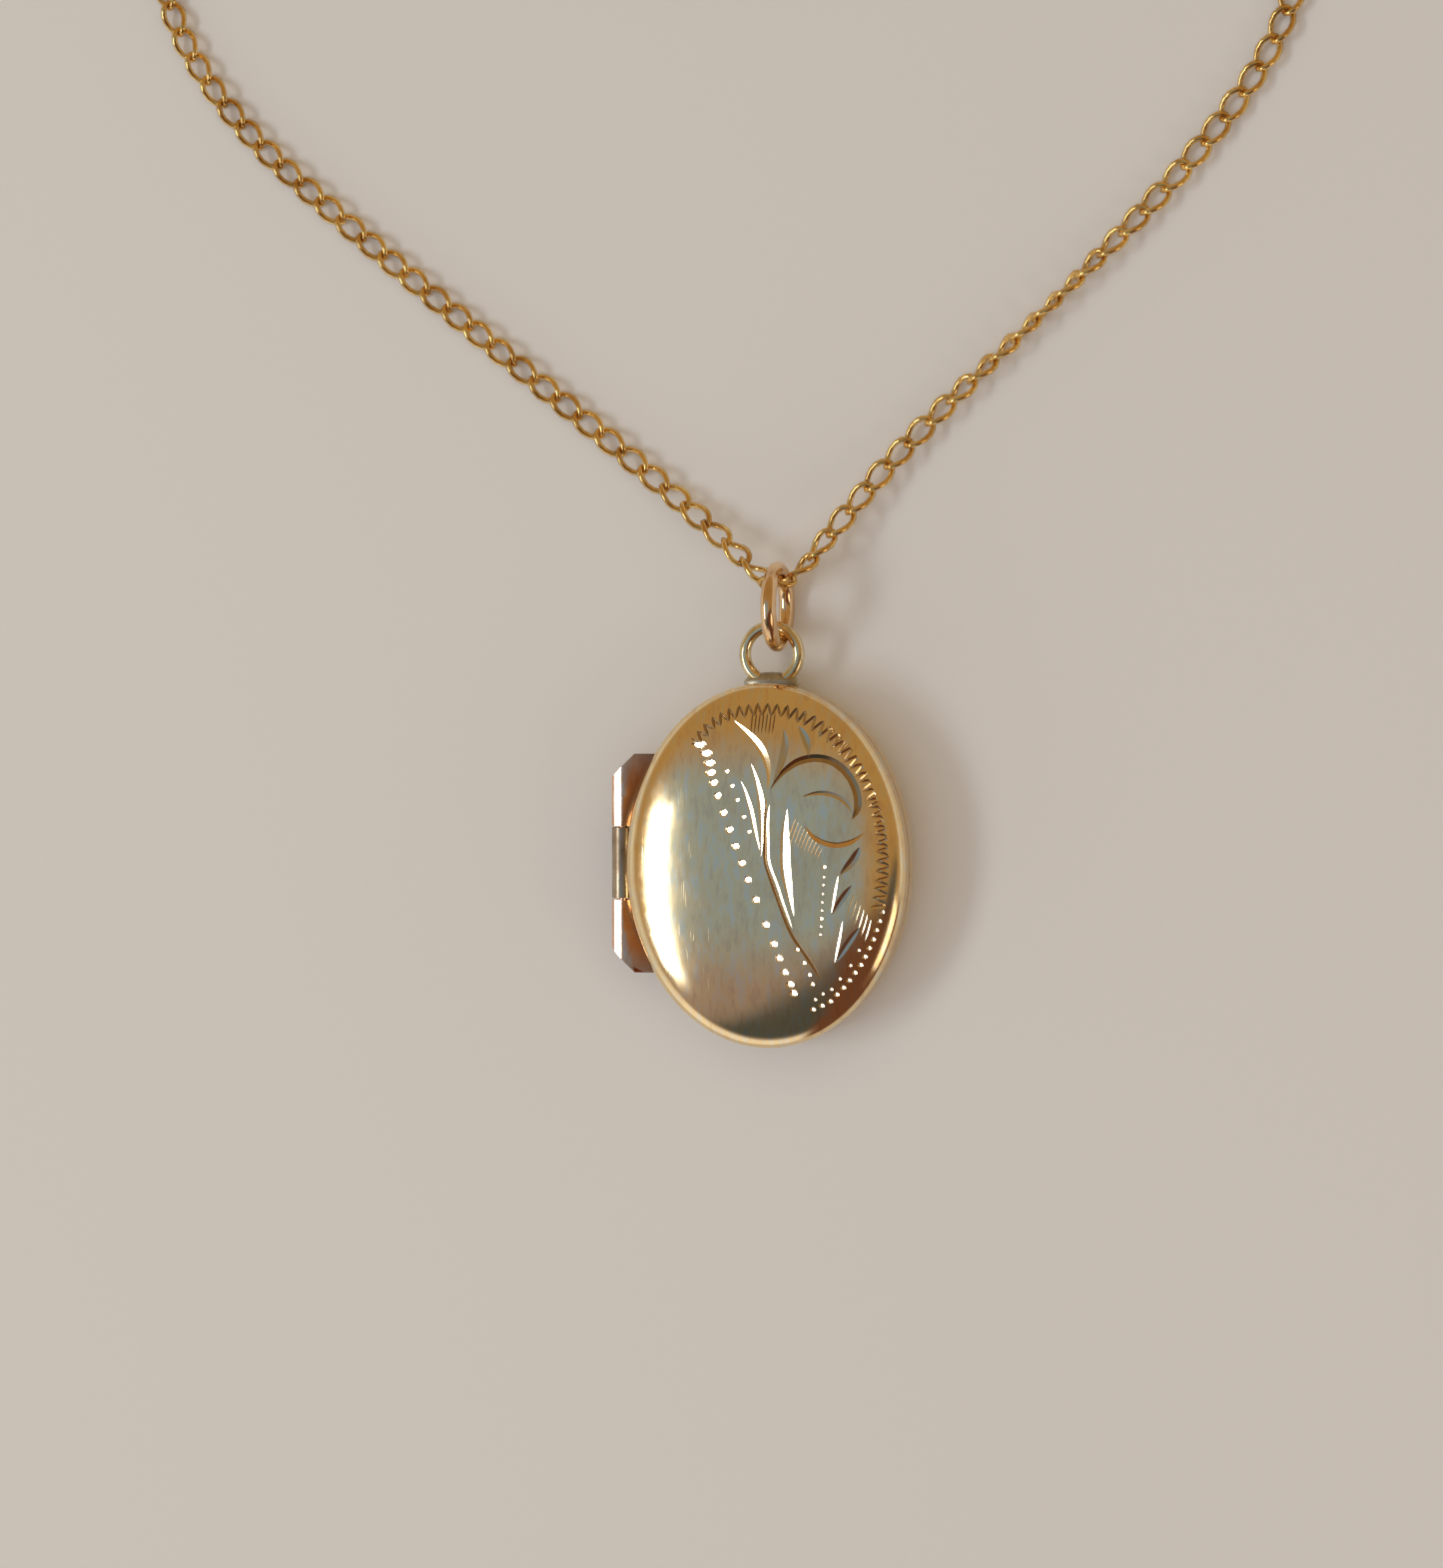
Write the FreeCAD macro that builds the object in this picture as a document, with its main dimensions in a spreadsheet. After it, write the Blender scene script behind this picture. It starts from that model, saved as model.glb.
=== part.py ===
"""Oval picture locket, 15 x 19 mm, with its jump-ring bail, a 16 inch curb chain and a bolt ring.

The locket lies on its back.  +Z points out of the front cover, +Y towards the bail, and the origin is
the middle of the small worn flat on the back, where the locket rests.  Lengths are in millimetres.
"""
import FreeCAD, Part
import math
import os
import Sketcher

Vector = FreeCAD.Vector
doc = FreeCAD.newDocument("locket")

# ---------------------------------------------------------------------------------------------
# Driving dimensions
# ---------------------------------------------------------------------------------------------
SIZES = {
    # the two pressed halves
    "oval_width": 15.0,
    "oval_height": 19.0,
    "joint_height": 2.4,          # where the two halves meet, half of the locket's depth
    "seam_gap": 0.08,
    "wall_height": 1.15,          # straight wall of each half, measured from the joint
    "dome_rise": 1.28,            # from the end of the wall to the crown of the dome
    "dome_spread": 1.12,          # the dome's ellipsoid is this much wider than the oval
    "worn_flat": 0.03,            # rubbed off the crown of the back
    "sheet": 0.38,                # gold sheet that the halves are pressed from
    "edge_round": 0.9,
    # what each half holds
    "ledge_low": 1.25,
    "card_low": 1.45,
    "window_low": 1.65,
    "rim_low": 1.8,
    "rim_high": 2.3,
    "picture_inset": 0.7,         # from the outside of the wall to the picture's edge
    "opening_inset": 1.5,         # from the outside of the wall to the rim's opening
    # catch lip in the back half
    "lip_low": 1.55,
    "lip_sheet": 0.25,
    "lip_proud": 0.42,            # how far it stands into the front half
    "lip_play": 0.1,
    "lip_hinge_end": -5.0,        # the lip stops short of the hinge here
    # hinge on the left side
    "hinge_offset": 7.9,
    "barrel_radius": 0.6,
    "channel_radius": 0.68,
    "bore_radius": 0.28,
    "pin_radius": 0.25,
    "pin_half": 4.62,
    "middle_half": 1.85,
    "outer_start": 1.95,
    "outer_tip": 4.4,             # end of an outer knuckle at the back of the barrel
    "outer_end": 5.75,            # end of its leaf at the wall
    "leaf_start": 0.05,
    "leaf_depth": 0.95,
    # loop and bail
    "loop_radius": 1.44,
    "loop_wire": 0.31,
    "loop_distance": 10.98,
    "loop_height": 1.8,
    "foot_width": 1.5,
    "foot_length": 0.55,
    "foot_depth": 0.42,
    "bail_radius": 1.94,
    "bail_wire": 0.41,
    "bail_side": 0.45,            # the bail hangs a little to the right on the loop
    "bail_distance": 13.448,
    # chain
    "chain_radius": 0.7,
    "coil_side": -5.0,
    "coil_distance": 57.2,
    "coil_inner": 5.0,
    "coil_outer": 10.0,
    "coil_depth": 2.8,
    # bolt ring and its jump rings
    "clasp_side": 12.6,
    "clasp_distance": 61.0,
    "clasp_height": 1.5,
    "clasp_radius": 2.1,
    "clasp_tube": 0.45,
    "clasp_bore": 0.3,
    "bolt_radius": 0.25,
    "clasp_gap_start": 65.0,      # the mouth of the bolt ring, in degrees round it
    "clasp_gap_end": 125.0,
    "bolt_start": 58.0,
    "bolt_end": 168.0,
    "slot_start": 147.0,
    "slot_end": 207.0,
    "slot_width": 0.3,
    "tab_angle": 151.0,
    "tab_width": 0.2,
    "tab_reach": 0.95,
    "spring_start": 224.0,
    "spring_end": 300.0,
    "eye_radius": 0.7,
    "eye_wire": 0.2,
    "end_ring_radius": 1.075,
    "end_ring_wire": 0.225,
    "catch_ring_radius": 1.25,
    "catch_ring_wire": 0.25,
    "catch_ring_play": 0.1,
}

sheet = doc.addObject("Spreadsheet::Sheet", "Sizes")
for row, (alias, value) in enumerate(SIZES.items(), start=1):
    sheet.set(f"A{row}", alias)
    sheet.set(f"B{row}", str(value))
    sheet.setAlias(f"B{row}", alias)
doc.recompute()


def size(alias):
    """The value that the sheet holds for one driving dimension."""
    return float(getattr(sheet, alias))


def bound(words):
    """An expression in which each driving dimension is read from the sheet."""
    for alias in sorted(SIZES, key=len, reverse=True):
        words = words.replace("@" + alias, "Sizes." + alias)
    return words


def made(kind, name, **bindings):
    """A document object whose properties are bound to the sheet.  at_x, at_y and at_z place it."""
    item = doc.addObject(kind, name)
    for prop, words in bindings.items():
        if prop.startswith("at_"):
            prop = "Placement.Base." + prop[-1]
        item.setExpression(prop, bound(words))
    return item


def joined(kind, name, base, tool):
    """A boolean of two objects: Part::Cut, Part::Fuse or Part::Common."""
    item = doc.addObject(kind, name)
    item.Base = base
    item.Tool = tool
    return item


nodes = []


def keep(item, label):
    """Marks an object as one of the locket's pieces, under the name that its file gets."""
    item.Label = label
    nodes.append(item)
    return item


# ---------------------------------------------------------------------------------------------
# The two pressed halves.  The back is built, and what the front shares with it is mirrored
# ---------------------------------------------------------------------------------------------
def oval_prism(name, inset, low, high):
    """Upright oval block between two heights, set in from the outside of the wall."""
    outline = made(
        "Part::Ellipse",
        name + "_outline",
        MajorRadius=f"@oval_height / 2 - ({inset})",
        MinorRadius=f"@oval_width / 2 - ({inset})",
        at_z=low,
    )
    outline.Placement.Rotation = FreeCAD.Rotation(Vector(0, 0, 1), 90)
    block = made("Part::Extrusion", name, LengthFwd=f"({high}) - ({low})")
    block.Base = outline
    block.DirMode = "Custom"
    block.Dir = Vector(0, 0, 1)
    block.Solid = True
    return block


DOME_DEPTH = "@dome_rise / (1 - sqrt(1 - 1 / @dome_spread ^ 2))"
DOME_CENTRE = f"{DOME_DEPTH} - @worn_flat"


def domed_block(name, inset, low, high):
    """Oval block whose underside is domed, like the outside or the inside of the back."""
    block = oval_prism(name + "_block", inset, low, high)
    dome = made(
        "Part::Ellipsoid",
        name + "_dome",
        Radius1=f"{DOME_DEPTH} - ({inset})",
        Radius2=f"@dome_spread * (@oval_width / 2 - ({inset}))",
        Radius3=f"@dome_spread * (@oval_height / 2 - ({inset}))",
        at_z=DOME_CENTRE,
    )
    return joined("Part::Common", name, block, dome)


def rounded_rim(name, base):
    """Rounds the corner between the wall and the dome."""
    doc.recompute()
    corner_height = size("joint_height") - size("wall_height")
    links = []
    for index, edge in enumerate(base.Shape.Edges, start=1):
        box = edge.BoundBox
        if box.ZLength < 0.01 and abs(box.ZMin - corner_height) < 0.02:
            links.append((index, size("edge_round"), size("edge_round")))
    item = doc.addObject("Part::Fillet", name)
    item.Base = base
    item.Edges = links
    return item


def mirrored(name, source, normal, at_z="0"):
    """The mirror image of a piece."""
    item = doc.addObject("Part::Mirroring", name)
    item.Source = source
    item.Normal = normal
    item.setExpression("Base.z", bound(at_z))
    return item


half_high = "@joint_height - @seam_gap / 2"
pressing = rounded_rim("pressing", domed_block("pressing_square", "0", "0", half_high))
hollow = domed_block("hollow", "@sheet", "0.1", "@joint_height + 1")
half_shell = joined("Part::Cut", "half_shell", pressing, hollow)

hinge_channel = made(
    "Part::Cylinder",
    "hinge_channel",
    Radius="@channel_radius",
    Height="2 * @outer_end + 0.2",
    at_x="-@hinge_offset",
    at_y="@outer_end + 0.1",
    at_z="@joint_height",
)
hinge_channel.Placement.Rotation = FreeCAD.Rotation(Vector(1, 0, 0), 90)
back_cover = keep(joined("Part::Cut", "back_shell", half_shell, hinge_channel), "back_cover")
keep(mirrored("front_shell", back_cover, Vector(0, 0, 1), "@joint_height"), "front_cover")

ledge_block = joined(
    "Part::Cut",
    "ledge_block",
    oval_prism("ledge_outer", "@sheet", "@ledge_low", "@card_low"),
    oval_prism("ledge_inner", "@opening_inset", "@ledge_low - 0.1", "@card_low + 0.1"),
)
ledge = keep(joined("Part::Common", "ledge", ledge_block, hollow), "back_seat_ring")
card = keep(oval_prism("card", "@picture_inset", "@card_low", "@window_low"), "back_picture_card")
window = keep(
    oval_prism("window", "@picture_inset", "@window_low", "@rim_low"), "back_picture_window"
)
rim = joined(
    "Part::Cut",
    "rim",
    oval_prism("rim_outer", "@picture_inset", "@rim_low", "@rim_high"),
    oval_prism("rim_inner", "@opening_inset", "@rim_low - 0.1", "@rim_high + 0.1"),
)
keep(rim, "back_picture_rim")
shared = {"seat_ring": ledge, "picture_card": card, "picture_window": window, "picture_rim": rim}
for piece, source in shared.items():
    keep(mirrored("front_" + piece, source, Vector(0, 0, 1), "@joint_height"), "front_" + piece)

# ---------------------------------------------------------------------------------------------
# Catch lip: a strip soldered inside the back's wall, over which the front snaps shut
# ---------------------------------------------------------------------------------------------
lip_inner = "@sheet + @lip_sheet"
lip_foot = oval_prism("lip_foot", "@sheet", "@lip_low", half_high)
lip_tongue = oval_prism(
    "lip_tongue", "@sheet + @lip_play", "@joint_height - 0.2", "@joint_height + @lip_proud"
)
lip_solid = joined("Part::Fuse", "lip_solid", lip_foot, lip_tongue)
lip_hole = oval_prism("lip_hole", lip_inner, "@lip_low - 0.1", "@joint_height + @lip_proud + 0.1")
lip_ring = joined("Part::Cut", "lip_ring", lip_solid, lip_hole)
lip_break = made(
    "Part::Box",
    "lip_break",
    Length="@oval_width / 2 + @lip_hinge_end",
    Width="@oval_height",
    Height="2 * @joint_height",
    at_x="-@oval_width / 2",
    at_y="-@oval_height / 2",
)
keep(joined("Part::Cut", "lip", lip_ring, lip_break), "catch_lip")

# ---------------------------------------------------------------------------------------------
# Hinge: one knuckle on the back, two on the front, and a pin that the back's knuckle carries
# ---------------------------------------------------------------------------------------------
def circle_sketch(body, name, radius):
    """A circle round the body's own origin, in the plane square to the hinge."""
    sketch = body.newObject("Sketcher::SketchObject", name)
    planes = {feature.Role: feature for feature in body.Origin.OriginFeatures}
    sketch.AttachmentSupport = (planes["XZ_Plane"], [""])
    sketch.MapMode = "FlatFace"
    sketch.addGeometry(Part.Circle(Vector(0, 0, 0), Vector(0, 0, 1), 1.0), False)
    sketch.addConstraint(Sketcher.Constraint("Coincident", 0, 3, -1, 1))
    sketch.addConstraint(Sketcher.Constraint("Radius", 0, 1.0))
    sketch.setExpression("Constraints[1]", bound(radius))
    return sketch


def turned_bar(name, radius, length, middle):
    """A round bar along the hinge, made as a body of its own with its middle at a given place."""
    body = doc.addObject("PartDesign::Body", name)
    pad = body.newObject("PartDesign::Pad", name + "_pad")
    pad.Profile = circle_sketch(body, name + "_section", radius)
    pad.Midplane = True
    pad.setExpression("Length", bound(length))
    body.Tip = pad
    body.setExpression("Placement.Base.x", bound("-@hinge_offset"))
    body.setExpression("Placement.Base.y", bound(middle))
    body.setExpression("Placement.Base.z", bound("@joint_height"))
    return body


def plan_sketch(name, corners):
    """A closed outline seen from above, each corner tied to the sheet."""
    sketch = doc.addObject("Sketcher::SketchObject", name)
    count = len(corners)
    for index in range(count):
        turn = 2 * math.pi * index / count
        following = 2 * math.pi * (index + 1) / count
        start = Vector(math.cos(turn), math.sin(turn), 0)
        end = Vector(math.cos(following), math.sin(following), 0)
        sketch.addGeometry(Part.LineSegment(start, end), False)
    for index in range(count):
        following = (index + 1) % count
        sketch.addConstraint(Sketcher.Constraint("Coincident", index, 2, following, 1))
    for index, (across, along) in enumerate(corners):
        for kind, words in (("DistanceX", across), ("DistanceY", along)):
            tie = sketch.addConstraint(Sketcher.Constraint(kind, -1, 1, index, 1, 1.0))
            sketch.setExpression(f"Constraints[{tie}]", bound(words))
    return sketch


def knuckle(name, start, end, leaf_low, outline):
    """Barrel and leaf between two places along the hinge, trimmed to an outline and to the wall."""
    length = f"({end}) - ({start})"
    barrel = turned_bar(name + "_barrel", "@barrel_radius", length, f"(({start}) + ({end})) / 2")
    leaf = made(
        "Part::Box",
        name + "_leaf",
        Length="@hinge_offset - @oval_width / 4",
        Width=length,
        Height="@leaf_depth",
        at_x="-@hinge_offset",
        at_y=start,
        at_z=leaf_low,
    )
    solid = joined("Part::Fuse", name + "_solid", barrel, leaf)
    plan = made("Part::Extrusion", name + "_plan", LengthFwd="2 * @joint_height")
    plan.Base = plan_sketch(name + "_outline", outline)
    plan.DirMode = "Custom"
    plan.Dir = Vector(0, 0, 1)
    plan.Solid = True
    trimmed = joined("Part::Common", name + "_trimmed", solid, plan)
    bore = turned_bar(name + "_bore", "@bore_radius", f"{length} + 1", f"(({start}) + ({end})) / 2")
    bored = joined("Part::Cut", name + "_bored", trimmed, bore)
    wall = oval_prism(name + "_wall", "0", "-1", "2 * @joint_height + 1")
    return joined("Part::Cut", name, bored, wall)


hinge_back = "-@hinge_offset - 1"
hinge_front = "-@oval_width / 4"
middle_outline = [
    (hinge_back, "-@middle_half"),
    (hinge_front, "-@middle_half"),
    (hinge_front, "@middle_half"),
    (hinge_back, "@middle_half"),
]
outer_outline = [
    (hinge_back, "@outer_start"),
    (hinge_front, "@outer_start"),
    (hinge_front, "@outer_end"),
    ("-@hinge_offset + @barrel_radius", "@outer_end"),
    ("-@hinge_offset - @barrel_radius", "@outer_tip"),
    (hinge_back, "@outer_tip"),
]
back_leaf = "@joint_height - @leaf_start - @leaf_depth"
front_leaf = "@joint_height + @leaf_start"
middle = knuckle("middle", "-@middle_half", "@middle_half", back_leaf, middle_outline)
upper = knuckle("upper", "@outer_start", "@outer_end", front_leaf, outer_outline)
keep(middle, "knuckle_middle")
keep(upper, "knuckle_upper")
keep(mirrored("lower", upper, Vector(0, 1, 0)), "knuckle_lower")
keep(turned_bar("pin", "@pin_radius", "2 * @pin_half", "0"), "hinge_pin")

# ---------------------------------------------------------------------------------------------
# Loop soldered on the back's wall, its fillet of solder, and the jump ring that is the bail
# ---------------------------------------------------------------------------------------------
def wire_ring(name, radius, wire, across, along, high, turn=None, sweep="360"):
    """A ring of round wire, lying flat or turned about an axis."""
    ring = made(
        "Part::Torus",
        name,
        Radius1=radius,
        Radius2=wire,
        Angle3=sweep,
        at_x=across,
        at_y=along,
        at_z=high,
    )
    if turn is not None:
        axis, angle = turn
        ring.Placement.Rotation = FreeCAD.Rotation(axis, angle)
    return ring


loop_ring = wire_ring(
    "loop_ring", "@loop_radius", "@loop_wire", "0", "@loop_distance", "@loop_height"
)
loop_wall = oval_prism("loop_wall", "0", "0", "@joint_height + 1")
keep(joined("Part::Cut", "loop", loop_ring, loop_wall), "top_loop")

foot_blob = made(
    "Part::Ellipsoid",
    "foot_blob",
    Radius1="@foot_depth",
    Radius2="@foot_width",
    Radius3="@foot_length",
    at_y="@oval_height / 2",
    at_z="@loop_height",
)
foot_outside = joined("Part::Cut", "foot_outside", foot_blob, loop_wall)
keep(joined("Part::Cut", "foot", foot_outside, loop_ring), "loop_foot")

keep(
    wire_ring(
        "bail",
        "@bail_radius",
        "@bail_wire",
        "@bail_side",
        "@bail_distance",
        "@joint_height",
        (Vector(0, 1, 0), 90),
    ),
    "bail_ring",
)

# ---------------------------------------------------------------------------------------------
# Bolt ring: a hollow ring with a mouth, a sprung bolt that closes it, and its jump rings
# ---------------------------------------------------------------------------------------------
clasp_at = ("@clasp_side", "@clasp_distance", "@clasp_height")
upright = (Vector(1, 0, 0), 90)


def clasp_arc(name, wire, start, end):
    """Part of a ring round the clasp's middle, between two angles."""
    arc = wire_ring(name, "@clasp_radius", wire, *clasp_at, sweep=f"({end}) - ({start})")
    arc.setExpression("Placement.Rotation.Angle", bound(start))
    return arc


clasp_outside = clasp_arc("clasp_outside", "@clasp_tube", "@clasp_gap_end", "@clasp_gap_start + 360")
clasp_inside = clasp_arc("clasp_inside", "@clasp_bore", "0", "360")
clasp_hollow = joined("Part::Cut", "clasp_hollow", clasp_outside, clasp_inside)
slot_block = made(
    "Part::Cylinder",
    "slot_block",
    Radius="@clasp_radius + 1",
    Height="@slot_width",
    Angle="@slot_end - @slot_start",
    at_x="@clasp_side",
    at_y="@clasp_distance",
    at_z="@clasp_height - @slot_width / 2",
)
slot_block.setExpression("Placement.Rotation.Angle", bound("@slot_start"))
slot_core = made(
    "Part::Cylinder",
    "slot_core",
    Radius="@clasp_radius",
    Height="@clasp_height * 2",
    at_x="@clasp_side",
    at_y="@clasp_distance",
)
slot = joined("Part::Cut", "slot", slot_block, slot_core)
keep(joined("Part::Cut", "clasp_body", clasp_hollow, slot), "bolt_ring_body")

tab = made(
    "Part::Box",
    "tab",
    Length="@tab_reach",
    Width="@tab_width",
    Height="@tab_width",
    at_x="@clasp_side + @clasp_radius * cos(@tab_angle * 1deg)",
    at_y="@clasp_distance + @clasp_radius * sin(@tab_angle * 1deg)",
    at_z="@clasp_height - @tab_width / 2",
)
tab.setExpression("Placement.Rotation.Angle", bound("@tab_angle"))
bolt_rod = clasp_arc("bolt_rod", "@bolt_radius", "@bolt_start", "@bolt_end")
keep(joined("Part::Fuse", "bolt", bolt_rod, tab), "bolt")

spring_outside = clasp_arc("spring_outside", "@bolt_radius", "@spring_start", "@spring_end")
spring_inside = clasp_arc("spring_inside", "@bolt_radius / 2", "0", "360")
keep(joined("Part::Cut", "spring", spring_outside, spring_inside), "bolt_spring")

eye_offset = "@clasp_radius + @clasp_tube + @eye_radius"
eye_ring = wire_ring(
    "eye_ring",
    "@eye_radius",
    "@eye_wire",
    f"@clasp_side + {eye_offset}",
    "@clasp_distance",
    "@clasp_height",
)
eye_trim = clasp_arc("eye_trim", "@clasp_tube", "0", "360")
keep(joined("Part::Cut", "eye", eye_ring, eye_trim), "bolt_ring_eye")
keep(
    wire_ring(
        "end_ring",
        "@end_ring_radius",
        "@end_ring_wire",
        f"@clasp_side + {eye_offset} + @end_ring_radius",
        "@clasp_distance",
        "@clasp_height",
        upright,
    ),
    "chain_end_ring",
)
keep(
    wire_ring(
        "catch_ring",
        "@catch_ring_radius",
        "@catch_ring_wire",
        "@clasp_side - @clasp_radius + @clasp_tube + @catch_ring_play"
        " + @catch_ring_wire - @catch_ring_radius",
        "@clasp_distance",
        "@clasp_height",
        upright,
    ),
    "catch_ring",
)

# ---------------------------------------------------------------------------------------------
# Chain: one tube from the bolt ring through the bail to the coil, the coil, and the short tail
# ---------------------------------------------------------------------------------------------
RUN_POINTS = [
    (18.1, 61.0, 1.5),
    (21.4, 60.6, 1.1),
    (25.1, 57.2, 0.7),
    (27.6, 51.0, 0.7),
    (27.0, 43.6, 0.7),
    (22.3, 36.8, 0.7),
    (14.6, 28.9, 0.7),
    (7.1, 21.8, 0.7),
    (3.15, 16.9, 1.8),
    (1.2, 14.2, 2.4),
    (-0.2, 14.2, 2.4),
    (-2.3, 16.4, 1.8),
    (-7.1, 20.5, 0.7),
    (-14.6, 26.5, 0.7),
    (-22.9, 33.0, 0.7),
    (-30.5, 39.5, 0.7),
    (-34.6, 46.2, 0.7),
    (-34.9, 54.2, 0.7),
    (-30.6, 61.3, 0.7),
    (-23.0, 66.0, 0.7),
    (-13.6, 67.0, 0.7),
    (-5.0, 66.2, 0.7),
]
TAIL_POINTS = [
    (-1.2, 65.45, 2.1),
    (3.9, 63.2, 1.8),
    (8.75, 61.0, 1.5),
]


def tube_along(points):
    """A round tube whose path is straight runs joined by arcs, as large as the runs allow."""
    spots = [Vector(*point) for point in points]
    edges = []
    radii = []
    start = spots[0]
    for before, corner, after in zip(spots, spots[1:], spots[2:]):
        inward = (before - corner).normalize()
        outward = (after - corner).normalize()
        half_turn = (math.pi - inward.getAngle(outward)) / 2
        reach = 0.45 * min((before - corner).Length, (after - corner).Length)
        radii.append(reach / math.tan(half_turn))
        first = corner + inward * reach
        last = corner + outward * reach
        bisector = (inward + outward).normalize()
        centre = corner + bisector * (reach / math.sin(half_turn))
        middle = centre - bisector * radii[-1]
        edges.append(Part.LineSegment(start, first).toShape())
        edges.append(Part.Arc(first, middle, last).toShape())
        start = last
    edges.append(Part.LineSegment(start, spots[-1]).toShape())
    path = Part.Wire(edges)
    heading = (spots[1] - spots[0]).normalize()
    section = Part.Wire(Part.Circle(spots[0], heading, size("chain_radius")).toShape())
    tube = path.makePipeShell([section], True, False)
    expected = math.pi * size("chain_radius") ** 2 * path.Length
    runs = [(b - a).Length for a, b in zip(spots, spots[1:])]
    print("runs", [round(run, 1) for run in runs])
    print("radii", [round(radius, 1) for radius in radii])
    print("length", round(path.Length, 2), "volume ratio", round(tube.Volume / expected, 4))
    return tube


for label, points in (("chain_run", RUN_POINTS), ("chain_tail", TAIL_POINTS)):
    tube = doc.addObject("Part::Feature", label + "_tube")
    tube.Shape = tube_along(points)
    keep(tube, label)

coil_disc = made(
    "Part::Cylinder",
    "coil_disc",
    Radius="@coil_outer",
    Height="@coil_depth",
    at_x="@coil_side",
    at_y="@coil_distance",
)
coil_eye = made(
    "Part::Cylinder",
    "coil_eye",
    Radius="@coil_inner",
    Height="@coil_depth",
    at_x="@coil_side",
    at_y="@coil_distance",
)
keep(joined("Part::Cut", "coil", coil_disc, coil_eye), "chain_coil")

# ---------------------------------------------------------------------------------------------
# Check every object, then write each piece to its own file
# ---------------------------------------------------------------------------------------------
doc.recompute()
for item in doc.Objects:
    if "Invalid" in item.State or "Error" in item.State:
        raise RuntimeError(f"{item.Name} did not compute: {item.State}")
for item in nodes:
    if item.Shape.isNull() or not item.Shape.isValid():
        raise RuntimeError(f"{item.Label} has no valid shape")

os.makedirs("parts", exist_ok=True)
for item in nodes:
    shape = item.Shape
    shape.exportStep(os.path.join("parts", item.Label + ".step"))
    print(f"{item.Label:22s} solids {len(shape.Solids)}  volume {shape.Volume:9.4f} mm3")
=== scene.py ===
# Oval picture locket, half engraved, on a fine curb chain.
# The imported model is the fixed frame; everything here is in metres, in that frame.
import math

import bpy
import numpy as np
from mathutils import Matrix, Quaternion, Vector
from mathutils.geometry import delaunay_2d_cdt


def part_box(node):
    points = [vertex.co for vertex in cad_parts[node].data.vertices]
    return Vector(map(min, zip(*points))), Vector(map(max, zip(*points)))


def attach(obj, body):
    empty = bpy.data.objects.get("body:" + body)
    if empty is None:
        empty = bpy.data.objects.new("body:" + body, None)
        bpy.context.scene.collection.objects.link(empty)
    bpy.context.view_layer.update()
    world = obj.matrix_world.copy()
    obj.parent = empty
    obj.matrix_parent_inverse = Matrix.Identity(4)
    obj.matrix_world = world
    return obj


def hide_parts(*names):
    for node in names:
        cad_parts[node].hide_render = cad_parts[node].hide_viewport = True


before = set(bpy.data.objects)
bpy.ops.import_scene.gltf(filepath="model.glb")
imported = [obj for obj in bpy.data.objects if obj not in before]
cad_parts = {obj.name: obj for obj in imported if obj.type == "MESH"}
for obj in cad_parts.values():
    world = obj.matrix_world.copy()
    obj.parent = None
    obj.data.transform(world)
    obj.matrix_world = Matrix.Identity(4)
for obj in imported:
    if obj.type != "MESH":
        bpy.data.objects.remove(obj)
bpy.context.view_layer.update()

# ---------------------------------------------------------------------------------------------
# View: from above, 15 degrees to the right of the front cover's own axis and 3 degrees towards the
# bail, so that the back's rim shows on the right and the hinge on the left
# ---------------------------------------------------------------------------------------------
MM = 0.001
joint_height = (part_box("back_cover")[1].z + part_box("front_cover")[0].z) / 2
side_lean = math.radians(15)
top_lean = math.radians(3)
view_distance = 227 * MM
sight = Vector((math.tan(side_lean), math.tan(top_lean), 1)).normalized()
sight_right = Vector((math.cos(side_lean), 0, -math.sin(side_lean)))
sight_up = sight.cross(sight_right)
# the locket lies a little right of the middle of the view and below it
aim_left = 2.474 * MM
aim_up = 4.22 * MM
aim = Vector((0, 0, joint_height)) - aim_left * sight_right + aim_up * sight_up

camera_data = bpy.data.cameras.new("camera")
camera_data.lens = 100
camera_data.sensor_width = 36
camera_data.clip_start = 0.01
camera = bpy.data.objects.new("camera", camera_data)
camera.matrix_world = Matrix.Translation(aim + view_distance * sight) @ Matrix(
    (sight_right, sight_up, sight)
).transposed().to_4x4()
bpy.context.scene.collection.objects.link(camera)
bpy.context.scene.camera = camera
bpy.context.scene.view_settings.view_transform = "Standard"

# ---------------------------------------------------------------------------------------------
# Studio: a plain pale table, a window on the left, a small warm fill on the right and even
# daylight from overhead.  The room that the gold mirrors is pale at the horizon, dim and cool above
# ---------------------------------------------------------------------------------------------
table_mesh = bpy.data.meshes.new("table")
table_reach = 6
table_signs = ((-1, -1), (1, -1), (1, 1), (-1, 1))
table_mesh.from_pydata(
    [(across * table_reach, along * table_reach, 0) for across, along in table_signs],
    [],
    [(0, 1, 2, 3)],
)
table = bpy.data.objects.new("table", table_mesh)
bpy.context.scene.collection.objects.link(table)
table_paint = bpy.data.materials.new("pale_table")
table_paint.use_nodes = True
table_shader = table_paint.node_tree.nodes["Principled BSDF"]
table_shader.inputs["Base Color"].default_value = (0.86, 0.85, 0.83, 1)
table_shader.inputs["Roughness"].default_value = 0.75
table_shader.inputs["Specular IOR Level"].default_value = 0.1
table_mesh.materials.append(table_paint)


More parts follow.
